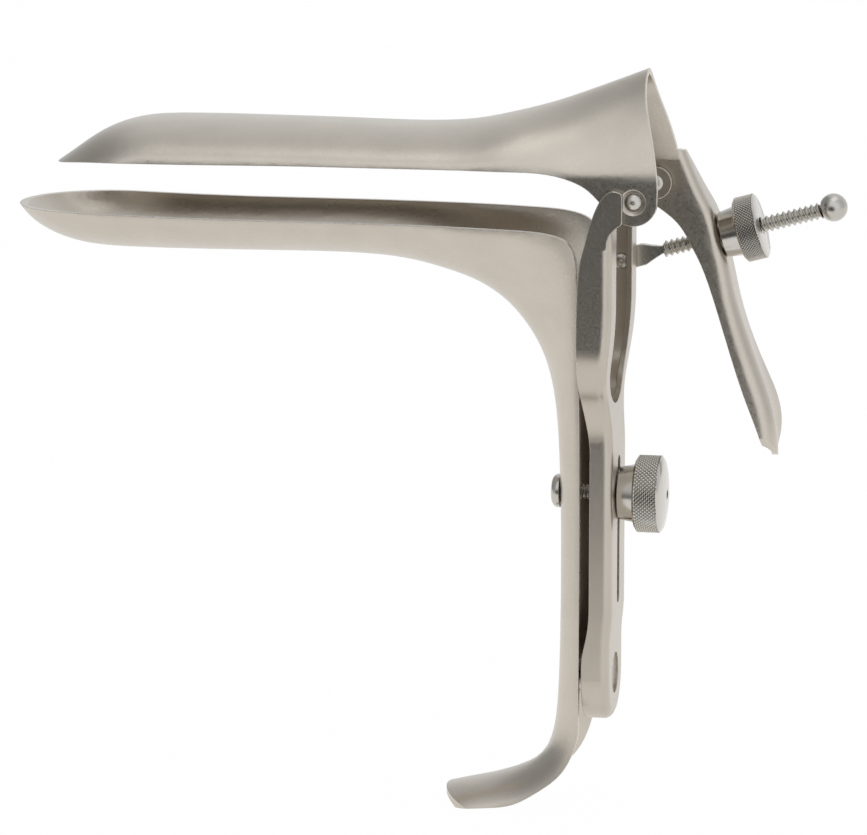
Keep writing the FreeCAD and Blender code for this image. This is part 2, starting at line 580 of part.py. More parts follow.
pressed_lower = pressed_lower.cut(end_waste(lip_tip, size("lip_end_length"), grip_half, curl - 40.0, curl - 8.0))
neck_hole_half = size("clamp_neck_half") + size("neck_clearance")
neck_hole = Part.makeBox(12, 2 * neck_hole_half, 2 * neck_hole_half,
                         Vector(front - 6, -neck_hole_half, -size("clamp_drop") - neck_hole_half))
lower_blade = formed("lower_blade", pressed_lower.cut(neck_hole))


# The yoke. Its outline, seen from behind, is two arms, two shoulders and a stem that ends in a round foot. A flange
# stands forward all round it, and the arms' strips lie across the rear.
arm_back = -size("arm_setback")
stem_back = -size("stem_setback")
foot_back = -size("foot_setback")
yoke_gauge = size("yoke_gauge")
stem_half = size("stem_half_width")
shoulder_top = -size("shoulder_top_drop")
shoulder_end = shoulder_top - size("shoulder_length")
foot = -size("foot_drop")
belly = -size("belly_reach")
waist = -size("waist_reach")
lug_radius = size("lug_radius")


def yoke_prism(inset):
    """The yoke's outline drawn in by the inset and swept along X."""
    narrowing = yoke_half - stem_half
    radius = (size("shoulder_length") ** 2 + narrowing ** 2) / (4 * narrowing)
    first_centre = rear(yoke_half - radius, shoulder_top)
    second_centre = rear(stem_half + radius, shoulder_end)
    across_centres = second_centre - first_centre
    across_centres.normalize()
    first_middle = rear(1, 0) + across_centres
    first_middle.normalize()
    second_middle = rear(-1, 0) - across_centres
    second_middle.normalize()
    joint = first_centre + across_centres * (radius - inset)
    right = [rear(yoke_half - inset, 12), rear(yoke_half - inset, shoulder_top),
             first_centre + first_middle * (radius - inset), joint,
             second_centre + second_middle * (radius + inset), rear(stem_half - inset, shoulder_end),
             rear(stem_half - inset, foot)]
    left = [rear(-spot.y, spot.z) for spot in right]
    edges = [line(left[0], right[0])]
    for half_outline in (right, left):
        edges.append(line(half_outline[0], half_outline[1]))
        edges.append(Part.Arc(half_outline[1], half_outline[2], half_outline[3]).toShape())
        edges.append(Part.Arc(half_outline[3], half_outline[4], half_outline[5]).toShape())
        edges.append(line(half_outline[5], half_outline[6]))
    edges.append(Part.Arc(right[6], rear(0, foot - stem_half + inset), left[6]).toShape())
    return prism(edges, Vector(-16, 0, 0), Vector(16, 0, 0))


flange_front = [side(-4.0, size("flange_top")), side(-5.4, 1.7), side(-7.0, -0.6), side(-8.2, -3.6),
                side(-9.4, -8.0), side(belly + 0.7, -12.4), side(belly + 0.15, -18.0), side(belly, -24.0),
                side(belly, -32.0), side(belly + 0.2, -39.0), side(waist - 0.9, -45.0), side(waist - 0.1, -50.5),
                side(waist, -54.5)]
foot_front = [side(waist, -85.0), side(waist - 0.5, -91.0), side(belly + 0.2, -95.5), side(belly + 0.1, -102.0),
              side(belly + 0.3, -111.0)]
flange_rear = [side(foot_back - 1.1, -111.0), side(foot_back - 0.2, -109.0), side(foot_back, -107.0)]
bend_rear = [side(arm_back, -22.0), side(arm_back - 0.55, -31.0), side(stem_back - 0.6, -39.5),
             side(stem_back - 0.3, -47.0), side(stem_back, -54.0)]
foot_rear = [side(stem_back, -86.0), side(foot_back, -93.5)]
down = Vector(0, 0, -1)
rear_curves = [spline(bend_rear, (down, down)), spline(foot_rear, (down, down)),
               spline(flange_rear[::-1], (down, Vector(-1.6, 0, -2)))]
rear_lines = [line(side(arm_back, lug_radius), bend_rear[0]), line(bend_rear[-1], foot_rear[0]),
              line(foot_rear[-1], flange_rear[-1])]
front_curves = [spline(offset_line(curve, yoke_gauge)) for curve in rear_curves]
front_lines = [line(side(arm_back - yoke_gauge, lug_radius), front_curves[0].StartPoint),
               line(front_curves[0].EndPoint, front_curves[1].StartPoint),
               line(front_curves[1].EndPoint, front_curves[2].StartPoint)]


def folded_form(inset, curves, lines, radius):
    """The room in front of a rear face and inside the yoke's outline, with its rear rim rounded."""
    rear_line = [curve.toShape() for curve in curves] + lines
    top, bottom = lines[0].Vertexes[0].Point, curves[2].EndPoint
    ahead = chain([top, side(-24.0, top.z), side(-24.0, bottom.z), bottom])
    form = yoke_prism(inset).common(across(rear_line + ahead, -yoke_half - 2, yoke_half + 2))
    rear_line = Part.Compound(rear_line)
    rim = []
    for edge in form.Edges:
        ends = edge.valueAt(edge.FirstParameter), edge.valueAt(edge.LastParameter)
        middle = edge.valueAt((edge.FirstParameter + edge.LastParameter) / 2)
        beside = Part.Vertex(side(middle.x, middle.z)).distToShape(rear_line)[0]
        if beside < 0.01 and (ends[0] - ends[1]).cross(Vector(0, 1, 0)).Length > 0.5:
            rim.append(edge)
    return form.makeFillet(radius, rim)


yoke_bend = size("yoke_bend")
folded = folded_form(0, rear_curves, rear_lines, yoke_bend)
folded = folded.cut(folded_form(yoke_gauge, front_curves, front_lines, yoke_bend - yoke_gauge))

# The flange's front edge, the room kept for the lugs' strips, and the tab beside each pivot rivet.
lug_outer = ear_half - size("blade_gauge") - size("lug_gap")
strip_top = -size("strip_top_drop")
kept_edges = [spline(flange_front).toShape(), line(side(waist, -54.5), side(waist, -85.0)),
              spline(foot_front, (down, Vector(0.1, 0, -1))).toShape()]
kept_edges += chain([side(belly + 0.3, -111.0), side(0, -111.0), side(0, size("flange_top")),
                     side(-4.0, size("flange_top"))])
kept = across(kept_edges, -yoke_half - 2, yoke_half + 2)
kept = kept.fuse(Part.makeBox(10, 2 * lug_outer, 12, Vector(-10, -lug_outer, -8)))
folded = folded.common(kept)
tab_back = -size("tab_setback")
tab_edges = [spline(flange_front[:6]).toShape(),
             spline([side(arm_back - 0.9, -9.4), side(arm_back - 0.3, -6.6), side(tab_back - 1.0, -5.0),
                     side(tab_back, -3.4)], (Vector(0, 0, 1), Vector(0, 0, 1))).toShape(),
             spline([side(tab_back, size("flange_top") - 1.2), side(tab_back - 0.5, size("flange_top") - 0.35),
                     side(-4.0, size("flange_top"))], (Vector(0, 0, 1), Vector(-1, 0, 0.1))).toShape()]
tab_edges += [line(side(tab_back, -3.4), side(tab_back, size("flange_top") - 1.2)),
              line(flange_front[5], side(arm_back - 0.9, -9.4))]
tabs = across(tab_edges, -yoke_half, -yoke_half + yoke_gauge).fuse(across(tab_edges, yoke_half - yoke_gauge, yoke_half))

opening_half = yoke_half - size("arm_strip")
opening_low = -size("opening_bottom_drop") + opening_half
opening = Part.makeBox(16, 2 * opening_half, 40, Vector(-16, -opening_half, opening_low))
opening = opening.fuse(drilled(opening_half, Vector(-16, 0, opening_low), Vector(16, 0, 0)))
folded = folded.cut(opening)
lugs = []
for hand in (-1, 1):
    room = yoke_half - yoke_gauge - lug_outer
    beside = Part.makeBox(8, room, 20, Vector(-8, lug_outer if hand > 0 else -lug_outer - room, strip_top))
    folded = folded.cut(beside)
    inner_face = lug_outer - yoke_gauge if hand > 0 else -lug_outer
    tongue = Part.makeBox(-arm_back, yoke_gauge, 2 * lug_radius, Vector(arm_back, inner_face, -lug_radius))
    lugs.append(tongue.fuse(drilled(lug_radius, Vector(0, inner_face, 0), Vector(0, yoke_gauge, 0))))

slot_half = size("clamp_shank_radius") + size("slot_clearance")
slot_top = -size("slot_top_drop") - slot_half
slot_bottom = -size("slot_top_drop") - size("slot_length") + slot_half
slot = Part.makeBox(16, 2 * slot_half, slot_top - slot_bottom, Vector(-16, -slot_half, slot_bottom))
for height in (slot_top, slot_bottom):
    slot = slot.fuse(drilled(slot_half, Vector(-16, 0, height), Vector(16, 0, 0)))
holes = [slot, drilled(size("stud_radius"), Vector(-16, 0, foot), Vector(16, 0, 0)),
         drilled(size("pivot_radius"), Vector(0, -30, 0), Vector(0, 60, 0)),
         drilled(size("pivot_radius"), Vector(eye.x, 10, eye.z), Vector(0, 10, 0))]
yoke = formed("yoke", folded.fuse([tabs] + lugs).cut(holes).removeSplitter())

# The rivets. Each is turned about its own axis, with its peened tail at the start and its domed head outside.
hinge_grip = "yoke_gauge + lug_gap + blade_gauge - ear_dimple + rivet_seat_gap"
screw_grip = "yoke_gauge + eye_gap + eye_thickness + rivet_seat_gap"


def rivet(label, grip, placement):
    return turned(label, [
        ("0 - rivet_tail_height", "0", "dome"),
        ("0", "rivet_head_radius", "line"),
        ("0", "pivot_radius", "line"),
        (grip, "pivot_radius", "line"),
        (grip, "rivet_head_radius", "dome"),
        (grip + " + rivet_head_height", "0", "line"),
    ], placement)


to_near = FreeCAD.Rotation(Vector(0, 0, 1), -90)
to_far = FreeCAD.Rotation(Vector(0, 0, 1), 90)
lug_inner = lug_outer - yoke_gauge
near_pivot_rivet = rivet("near_pivot_rivet", hinge_grip, FreeCAD.Placement(Vector(0, -lug_inner, 0), to_near))
far_pivot_rivet = rivet("far_pivot_rivet", hinge_grip, FreeCAD.Placement(Vector(0, lug_inner, 0), to_far))
screw_rivet_seat = Vector(eye.x, yoke_half - yoke_gauge, eye.z)
screw_pivot_rivet = rivet("screw_pivot_rivet", screw_grip, FreeCAD.Placement(screw_rivet_seat, to_far))

# The guide stud in the foot, with its dished face at the rear and its nose in the handle's channel.
guide_stud = turned("guide_stud", [
    ("stud_recess + stud_dish_depth", "0", "dome"),
    ("stud_recess", "stud_radius", "line"),
    ("yoke_gauge", "stud_radius", "line"),
    ("yoke_gauge", "stud_head_radius", "line"),
    ("yoke_gauge + stud_head_height", "stud_head_radius", "line"),
    ("yoke_gauge + stud_head_height", "stud_nose_radius", "line"),
    ("stud_reach - foot_setback", "stud_nose_radius", "line"),
    ("stud_reach - foot_setback", "0", "line"),
], FreeCAD.Placement(Vector(foot_back, 0, foot), FreeCAD.Rotation(Vector(0, 0, 1), 180)))


def padded(body, name, role, corners, length, midplane):
    """A pad of an outline with straight sides."""
    outline = new_sketch(body, name, role)
    closed_outline(outline, corners)
    pad = body.newObject("PartDesign::Pad", name + "_pad")
    pad.Profile = outline
    pad.setExpression("Length", formula(length))
    pad.SideType = "Symmetric" if midplane else "One side"
    return pad


# The clamp screw: a domed head, a square neck in the handle's square hole, and the thread.
clamp_reach = ("handle_front + head_seat_gap - stem_setback + nut_seat_gap + clamp_collar_length"
               " + clamp_knurl_length + nut_crown - screw_end_recess")
clamp_axis = -size("clamp_drop")
clamp_seat = FreeCAD.Placement(Vector(front - size("head_seat_gap"), 0, clamp_axis), FreeCAD.Rotation())
clamp_screw = turned("clamp_screw", [
    ("0 - clamp_head_height", "0", "dome"),
    ("0", "clamp_head_radius", "line"),
    ("0", "clamp_shank_radius", "line"),
    (clamp_reach, "clamp_shank_radius", "line"),
    (clamp_reach, "0", "line"),
], clamp_seat)
square = [("clamp_neck_half", "clamp_neck_half"), ("0 - clamp_neck_half", "clamp_neck_half"),
          ("0 - clamp_neck_half", "0 - clamp_neck_half"), ("clamp_neck_half", "0 - clamp_neck_half")]
padded(clamp_screw, "square_neck", "YZ_Plane", [(a, b, "line") for a, b in square], "neck_length", False)

nut_bore = "clamp_shank_radius + thread_clearance"
clamp_nut_end = "clamp_collar_length + clamp_knurl_length"
clamp_nut = turned("clamp_nut", [
    ("0", nut_bore, "line"),
    ("0", "clamp_collar_front_radius", "line"),
    ("clamp_collar_length", "clamp_collar_back_radius", "line"),
    ("clamp_collar_length", "clamp_knurl_radius - nut_chamfer", "line"),
    ("clamp_collar_length + nut_chamfer", "clamp_knurl_radius", "line"),
    (clamp_nut_end + " - nut_chamfer", "clamp_knurl_radius", "line"),
    (clamp_nut_end, "clamp_knurl_radius - nut_chamfer", "dome"),
    (clamp_nut_end + " + nut_crown", nut_bore, "line"),
], FreeCAD.Placement(Vector(stem_back + size("nut_seat_gap"), 0, clamp_axis), FreeCAD.Rotation()))

# The opening screw: a flattened eye and bar, a neck and the thread, all on one axis that rises to the rear.
tilt = FreeCAD.Rotation(Vector(0, 1, 0), -size("eye_rise"))
screw_end = "opening_screw_length - ball_radius + ball_socket_depth"
neck_end = "screw_neck_start + screw_neck_length"
opening_screw = turned("opening_screw", [
    ("screw_neck_start", "0", "line"),
    ("screw_neck_start", "screw_neck_radius", "line"),
    (neck_end, "screw_neck_radius", "line"),
    (neck_end, "opening_screw_radius", "line"),
    (screw_end, "opening_screw_radius", "line"),
    (screw_end, "0", "line"),
], FreeCAD.Placement(eye, tilt))
bar = [("0", "0 - eye_bar_half"), ("eye_bar_length", "0 - eye_bar_half"),
       ("screw_neck_start", "0 - screw_neck_radius"), ("screw_neck_start", "screw_neck_radius"),
       ("eye_bar_length", "eye_bar_half"), ("0", "eye_bar_half")]
padded(opening_screw, "eye_bar", "XZ_Plane", [(a, b, "line") for a, b in bar], "eye_thickness", True)
for name, kind, words in (("eye_disc", "PartDesign::Pad", "eye_radius"),
                          ("eye_hole", "PartDesign::Pocket", "pivot_radius + pivot_clearance")):
    ring = new_sketch(opening_screw, name, "XZ_Plane")
    edge = ring.addGeometry(Part.Circle(Vector(0, 0, 0), Vector(0, 0, 1), total(words)), False)
    ring.addConstraint(Sketcher.Constraint("Coincident", edge, 3, -1, 1))
    number = ring.addConstraint(Sketcher.Constraint("Radius", edge, total(words)))
    ring.setExpression(f"Constraints[{number}]", formula(words))
    feature = opening_screw.newObject(kind, name + "_feature")
    feature.Profile = ring
    feature.SideType = "Symmetric"
    feature.setExpression("Length", "Sizes.eye_thickness" if kind.endswith("Pad") else "2 * Sizes.eye_thickness")

ball_form = doc.addObject("Part::Sphere", "ball_form")
ball_form.setExpression("Radius", "Sizes.ball_radius")
ball_socket = doc.addObject("Part::Cylinder", "ball_socket")
ball_socket.setExpression("Radius", "Sizes.opening_screw_radius")
ball_socket.setExpression("Height", "Sizes.ball_socket_depth + 1")
ball_socket.Placement.Rotation = FreeCAD.Rotation(Vector(0, 1, 0), 90)
ball_socket.setExpression("Placement.Base.x", "-Sizes.ball_radius - 1")
screw_end_ball = doc.addObject("Part::Cut", "screw_end_ball")
screw_end_ball.Base = ball_form
screw_end_ball.Tool = ball_socket
screw_end_ball.Placement = FreeCAD.Placement(eye + screw_axis * size("opening_screw_length"), tilt)

opening_bore = "opening_screw_radius + thread_clearance"
opening_nut_end = "opening_collar_length + opening_knurl_length"
opening_nut = turned("opening_nut", [
    ("0", opening_bore, "line"),
    ("0", "opening_collar_front_radius", "line"),
    ("opening_collar_length", "opening_collar_back_radius", "line"),
    ("opening_collar_length", "opening_knurl_radius - nut_chamfer", "line"),
    ("opening_collar_length + nut_chamfer", "opening_knurl_radius", "line"),
    (opening_nut_end + " - nut_chamfer", "opening_knurl_radius", "line"),
    (opening_nut_end, "opening_knurl_radius - nut_chamfer", "line"),
    (opening_nut_end, opening_bore, "line"),
], FreeCAD.Placement(eye + screw_axis * (lever_distance + size("lever_gap")), tilt))

PIECES = [upper_blade, lower_blade, yoke, near_pivot_rivet, far_pivot_rivet, opening_screw, screw_pivot_rivet,
          screw_end_ball, opening_nut, clamp_screw, clamp_nut, guide_stud]
doc.recompute()
for thing in doc.Objects:
    if "Invalid" in thing.State or "Error" in thing.State:
        raise RuntimeError(thing.Label + " has an error")
for piece in PIECES:
    if piece.Shape.isNull() or not piece.Shape.isValid() or len(piece.Shape.Solids) != 1:
        raise RuntimeError(piece.Label + " isn't one valid solid")
    piece.Shape.exportStep(f"parts/{piece.Label}.step")
    print(piece.Label, round(piece.Shape.Volume, 1), "mm3")
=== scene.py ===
import math

import bpy
from mathutils import Matrix, Vector


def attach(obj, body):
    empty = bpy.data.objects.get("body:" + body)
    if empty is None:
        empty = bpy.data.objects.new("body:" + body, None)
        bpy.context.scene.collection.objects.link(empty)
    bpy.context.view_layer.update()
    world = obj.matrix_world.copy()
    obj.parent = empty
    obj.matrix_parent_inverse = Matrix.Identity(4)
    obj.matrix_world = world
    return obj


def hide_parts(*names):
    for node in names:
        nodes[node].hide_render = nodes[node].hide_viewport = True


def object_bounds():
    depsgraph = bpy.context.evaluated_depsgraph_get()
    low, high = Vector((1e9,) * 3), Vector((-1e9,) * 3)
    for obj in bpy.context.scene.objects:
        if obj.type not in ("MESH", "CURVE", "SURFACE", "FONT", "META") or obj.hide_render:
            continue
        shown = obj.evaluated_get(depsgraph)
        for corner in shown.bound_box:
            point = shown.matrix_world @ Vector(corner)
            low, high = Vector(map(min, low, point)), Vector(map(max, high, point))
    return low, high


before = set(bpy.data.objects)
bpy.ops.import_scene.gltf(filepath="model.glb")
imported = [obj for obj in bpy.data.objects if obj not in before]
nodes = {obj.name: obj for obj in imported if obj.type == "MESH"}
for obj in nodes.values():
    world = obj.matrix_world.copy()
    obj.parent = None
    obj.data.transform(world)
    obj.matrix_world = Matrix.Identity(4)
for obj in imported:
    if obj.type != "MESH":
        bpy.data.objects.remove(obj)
cad_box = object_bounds()

# The studio. The instrument hangs just over a white table inside a white tent with a dark opening for the lens and a
# greyer wall on the left, so that faces turned to the lens mirror the opening, and all others mirror the pale walls,
# the roof and the table. The camera stands 1 m off and puts the near pivot rivet on its pixel of the photograph.
picture_width = 867
picture_middle = (433.5, 417.5)
near_rivet = Vector((0, -0.0164, 0))
near_rivet_pixel = (633, 203)
metres_per_pixel = 0.0002
azimuth = math.radians(11.0)
elevation = math.radians(10.5)
to_right = Vector((math.cos(azimuth), math.sin(azimuth), 0))
ahead = Vector((-math.sin(azimuth) * math.cos(elevation), math.cos(azimuth) * math.cos(elevation),
                -math.sin(elevation)))
upward = to_right.cross(ahead)
pixels_right = near_rivet_pixel[0] - picture_middle[0]
pixels_up = picture_middle[1] - near_rivet_pixel[1]
place = near_rivet - ahead - to_right * pixels_right * metres_per_pixel - upward * pixels_up * metres_per_pixel
lens = bpy.data.cameras.new("studio_camera")
lens.sensor_fit = "HORIZONTAL"
lens.sensor_width = 36
lens.lens = lens.sensor_width / (picture_width * metres_per_pixel)
lens.clip_end = 100
camera = bpy.data.objects.new("studio_camera", lens)
bpy.context.scene.collection.objects.link(camera)
camera.matrix_world = Matrix.Translation(place) @ Matrix((to_right, upward, -ahead)).transposed().to_4x4()
bpy.context.scene.camera = camera
bpy.context.scene.view_settings.view_transform = "Standard"


def linear(hex_colour):
    """An sRGB hex colour as linear red, green, blue and alpha."""
    parts = [int(hex_colour[i:i + 2], 16) / 255 for i in (1, 3, 5)]
    return tuple(p / 12.92 if p <= 0.04045 else ((p + 0.055) / 1.055) ** 2.4 for p in parts) + (1.0,)


def add_node(tree, kind, settings=None, links=None):
    """One node with its settings, by attribute or by input name, and the sockets that feed it."""
    made = tree.nodes.new(kind)
    for name, value in (settings or {}).items():
        if isinstance(name, str) and hasattr(made, name):
            setattr(made, name, value)
        else:
            made.inputs[name].default_value = value
    for name, source in (links or {}).items():
        tree.links.new(source, made.inputs[name])
    return made


def shade(name):
    """A new material with an empty node tree."""
    material = bpy.data.materials.new(name)
    material.use_nodes = True
    material.node_tree.nodes.clear()
    return material


# The tent. Its light falls off from the lens side to the roof and rises again to the back wall. The camera sees it as
# plain white, and the steel mirrors its walls and the dark opening.
world = bpy.data.worlds.new("light_tent")
bpy.context.scene.world = world
world.use_nodes = True
tent = world.node_tree
tent.nodes.clear()
wall_light = ((0.0, 1.0), (0.16, 1.08), (0.30, 0.84), (0.5, 0.66), (1.0, 0.90))
red_share = 0.98
blue_share = 1.03
direction = add_node(tent, "ShaderNodeTexCoord")
axes = add_node(tent, "ShaderNodeSeparateXYZ", links={"Vector": direction.outputs["Generated"]})
depth = add_node(tent, "ShaderNodeMapRange", {"From Min": -1.0, "From Max": 1.0}, {"Value": axes.outputs["Y"]})
walls = add_node(tent, "ShaderNodeValToRGB", links={"Fac": depth.outputs["Result"]})
stops = walls.color_ramp.elements
for position, light in wall_light:
    if position == 0.0:
        stop = stops[0]
    elif position == 1.0:
        stop = stops[-1]
    else:
        stop = stops.new(position)
    stop.color = (light * red_share, light, light * blue_share, 1)
left_wall = add_node(tent, "ShaderNodeMapRange", {"interpolation_type": "SMOOTHSTEP", "From Min": -0.6,
                                                  "From Max": -0.28, "To Min": 0.5, "To Max": 1.0},
                     {"Value": axes.outputs["X"]})
opening_direction = (-0.188, -0.965, -0.182)
opening_inner = 0.2
opening_outer = 0.58
to_opening = add_node(tent, "ShaderNodeVectorMath", {"operation": "DOT_PRODUCT", 1: opening_direction},
                      {0: direction.outputs["Generated"]})
opening = add_node(tent, "ShaderNodeMapRange", {"interpolation_type": "SMOOTHSTEP",
                                                "From Min": math.cos(opening_outer),
                                                "From Max": math.cos(opening_inner), "To Min": 1.0, "To Max": 0.04},
                   {"Value": to_opening.outputs["Value"]})
level = add_node(tent, "ShaderNodeMath", {"operation": "MULTIPLY"},
                 {0: left_wall.outputs["Result"], 1: opening.outputs["Result"]})
tent_light = add_node(tent, "ShaderNodeBackground", links={"Color": walls.outputs["Color"],
                                                           "Strength": level.outputs["Value"]})
white = add_node(tent, "ShaderNodeBackground", {"Color": (1, 1, 1, 1), "Strength": 1.0})
seen = add_node(tent, "ShaderNodeLightPath")
backdrop = add_node(tent, "ShaderNodeMixShader", links={0: seen.outputs["Is Camera Ray"],
                                                        1: tent_light.outputs[0], 2: white.outputs[0]})
add_node(tent, "ShaderNodeOutputWorld", links={"Surface": backdrop.outputs[0]})

lamp = bpy.data.lights.new("roof_softbox", "AREA")
lamp.shape = "RECTANGLE"
lamp.size = 1.2
lamp.size_y = 0.8
lamp.energy = 1.6
holder = bpy.data.objects.new("roof_softbox", lamp)
aimed_at = Vector((-0.05, 0.0, -0.03))
holder.location = (0.15, -0.1, 1.3)
holder.rotation_euler = (aimed_at - holder.location).to_track_quat("-Z", "Y").to_euler()
bpy.context.scene.collection.objects.link(holder)

# The table. A matt white board just under the lip, with its front edge 0.25 m before the instrument. It is seen and
# mirrored as white, and a trace of the instrument's shadow stays on it.
table_width = 8.0
table_depth = 6.3
table_middle = 2.9
table_gap = 0.0002
table_white = 0.985
bpy.ops.object.select_all(action="DESELECT")
bpy.ops.mesh.primitive_plane_add(size=1, location=(0, 0, 0))
table = bpy.context.object
table.name = "white_table"
bpy.ops.object.mode_set(mode="EDIT")
bpy.ops.transform.resize(value=(table_width, table_depth, 1))
bpy.ops.transform.translate(value=(0, table_middle, cad_box[0][2] - table_gap))
bpy.ops.object.mode_set(mode="OBJECT")
table_paint = shade("matt white table")
board = table_paint.node_tree
coat = add_node(board, "ShaderNodeBsdfPrincipled",
                {"Base Color": linear("#F6F6F5"), "Roughness": 0.9, "Specular IOR Level": 0.2})
glow = add_node(board, "ShaderNodeEmission", {"Color": (1, 1, 1, 1), "Strength": 1.0})
view = add_node(board, "ShaderNodeLightPath")
mirrored = add_node(board, "ShaderNodeMath", {"operation": "MAXIMUM"},
                    {0: view.outputs["Is Camera Ray"], 1: view.outputs["Is Glossy Ray"]})
looked_at = add_node(board, "ShaderNodeMath", {"operation": "MAXIMUM"},
                     {0: mirrored.outputs["Value"], 1: view.outputs["Is Transmission Ray"]})
share = add_node(board, "ShaderNodeMath", {"operation": "MULTIPLY", 1: table_white},
                 {0: looked_at.outputs["Value"]})
top = add_node(board, "ShaderNodeMixShader", links={0: share.outputs["Value"], 1: coat.outputs[0],
                                                    2: glow.outputs[0]})
add_node(board, "ShaderNodeOutputMaterial", links={"Surface": top.outputs[0]})
table.data.materials.append(table_paint)


# The two blades. Stainless steel sheet of 1.2 mm, pressed, trimmed and blasted with fine glass beads, which leaves a
# soft satin without direction; the trimmed edges are ground round by hand and shine a little more.
# Real beads are about 0.1 mm. Here and in the other finishes the grain is drawn at 0.3 to 0.5 mm, so that it shows.
def blasted_steel(name, colour, roughness, grit_mm, edge_mm, blotch_mm=9.0, groove_shade_mm=0.0):
    """Satin steel: a colour that drifts, dimples of the blasting, bright rounded edges and, if asked, painted shade
    that darkens the grooves.
    """
    ground_edge = "#DAD5CD"
    material = shade(name)
    tree = material.node_tree
    where = add_node(tree, "ShaderNodeTexCoord")
    drift = add_node(tree, "ShaderNodeTexNoise", {"Scale": 1000 / blotch_mm, "Detail": 3.0, "Roughness": 0.55},
                     {"Vector": where.outputs["Object"]})
    tone = add_node(tree, "ShaderNodeMapRange", {"From Min": 0.3, "From Max": 0.7, "To Min": 0.96, "To Max": 1.03},
                    {"Value": drift.outputs["Fac"]})
    dimples = add_node(tree, "ShaderNodeTexNoise", {"Scale": 1000 / grit_mm, "Detail": 2.0, "Roughness": 0.6},
                       {"Vector": where.outputs["Object"]})
    rounded = add_node(tree, "ShaderNodeBevel", {"samples": 6, "Radius": edge_mm / 1000})
    surface = add_node(tree, "ShaderNodeNewGeometry")
    turned = add_node(tree, "ShaderNodeVectorMath", {"operation": "DOT_PRODUCT"},
                      {0: rounded.outputs["Normal"], 1: surface.outputs["Normal"]})
    edge = add_node(tree, "ShaderNodeMapRange", {"From Min": 0.97, "From Max": 0.8, "To Min": 0.0, "To Max": 1.0},
                    {"Value": turned.outputs["Value"]})
    toned = add_node(tree, "ShaderNodeVectorMath", {"operation": "SCALE", 0: linear(colour)[:3]},
                     {"Scale": tone.outputs["Result"]})
    worn = add_node(tree, "ShaderNodeMix", {"data_type": "RGBA", 7: linear(ground_edge)},
                    {0: edge.outputs["Result"], 6: toned.outputs["Vector"]})
    steel_colour = worn.outputs[2]
    if groove_shade_mm:
        # Painted shade: the colour is darkened where ambient occlusion finds surfaces close by, in grooves and thread
        # roots.
        groove_occlusion = add_node(tree, "ShaderNodeAmbientOcclusion", {"samples": 8, "only_local": True,
                                                                "Distance": groove_shade_mm / 1000})
        groove_shade = add_node(tree, "ShaderNodeMapRange", {"From Min": 0.45, "From Max": 0.85, "To Min": 0.25,
                                                      "To Max": 1.0}, {"Value": groove_occlusion.outputs["AO"]})
        groove_shaded = add_node(tree, "ShaderNodeVectorMath", {"operation": "SCALE"},
                          {0: steel_colour, "Scale": groove_shade.outputs["Result"]})
        steel_colour = groove_shaded.outputs["Vector"]
    rough = add_node(tree, "ShaderNodeMapRange", {"From Min": 0.3, "From Max": 0.7, "To Min": roughness - 0.04,
                                                  "To Max": roughness + 0.04}, {"Value": dimples.outputs["Fac"]})
    smoother = add_node(tree, "ShaderNodeMath", {"operation": "MULTIPLY_ADD", 1: -0.07},
                        {0: edge.outputs["Result"], 2: rough.outputs["Result"]})
    relief = add_node(tree, "ShaderNodeBump", {"Strength": 0.05, "Distance": grit_mm / 4000},
                      {"Height": dimples.outputs["Fac"], "Normal": rounded.outputs["Normal"]})
    metal = add_node(tree, "ShaderNodeBsdfPrincipled", {"Metallic": 1.0},
                     {"Base Color": steel_colour, "Roughness": smoother.outputs["Value"],
                      "Normal": relief.outputs["Normal"]})
    add_node(tree, "ShaderNodeOutputMaterial", links={"Surface": metal.outputs[0]})
    return material


def coat_node(name, material):
    """Give a CAD node its material."""
    nodes[name].data.materials.clear()
    nodes[name].data.materials.append(material)


blade_steel = blasted_steel("bead-blasted stainless sheet", "#CAC2B6", roughness=0.31, grit_mm=0.45, edge_mm=0.25)
coat_node("upper_blade", blade_steel)
coat_node("lower_blade", blade_steel)

# The yoke. The same stainless sheet, folded round its outline and blasted a little coarser; its colour is set a shade
# greyer than the blades', which is painted shade.
yoke_steel = blasted_steel("bead-blasted folded sheet", "#C3BBAF", roughness=0.32, grit_mm=0.5, edge_mm=0.3)
coat_node("yoke", yoke_steel)

# The rivets. Drawn stainless wire, peened through the ears, the lugs and the screw's eye, and left as struck, so their
# domes are smoother than the blasted sheet and mirror the tent more clearly.
rivet_steel = blasted_steel("peened rivet wire", "#C9C5BD", roughness=0.26, grit_mm=0.4, edge_mm=0.2, blotch_mm=3.0)
for name in ("near_pivot_rivet", "far_pivot_rivet", "screw_pivot_rivet"):
    coat_node(name, rivet_steel)

# The opening screw. Turned and cut from stainless bar, with one coarse thread and a flattened eye that hangs on its
# rivet; the thread's crests are bright from the cutting, and its roots are darkened with painted shade. Its sizes are
# along the screw's own axis from the eye's middle, in millimetres.
mm = 0.001
eye_place = Vector((-7.4, 19.2, -16.9)) * mm
rise = math.radians(15.4)
thread_pitch = 1.2
thread_start = 7.9
thread_end = 44.0
thread_turns = 30
thread_steps = 28
eye_radius = 3.15
eye_bore = 1.3
eye_half = 1.0


def drawn_line(name, spots):
    """A line of edges over the X axis, drawn by extruding one vertex from spot to spot (along, out) in millimetres."""
    bpy.ops.object.select_all(action="DESELECT")
    bpy.ops.mesh.primitive_plane_add(size=mm)
    piece = bpy.context.object
    piece.name = name
    bpy.ops.object.mode_set(mode="EDIT")
    bpy.ops.mesh.select_mode(type="VERT")
    bpy.ops.mesh.merge(type="CENTER")
    bpy.ops.transform.translate(value=(spots[0][0] * mm, 0, spots[0][1] * mm))
    for before, after in zip(spots, spots[1:]):
        stride = ((after[0] - before[0]) * mm, 0, (after[1] - before[1]) * mm)
        bpy.ops.mesh.extrude_vertices_move(TRANSFORM_OT_translate={"value": stride})
    bpy.ops.object.mode_set(mode="OBJECT")
    return piece


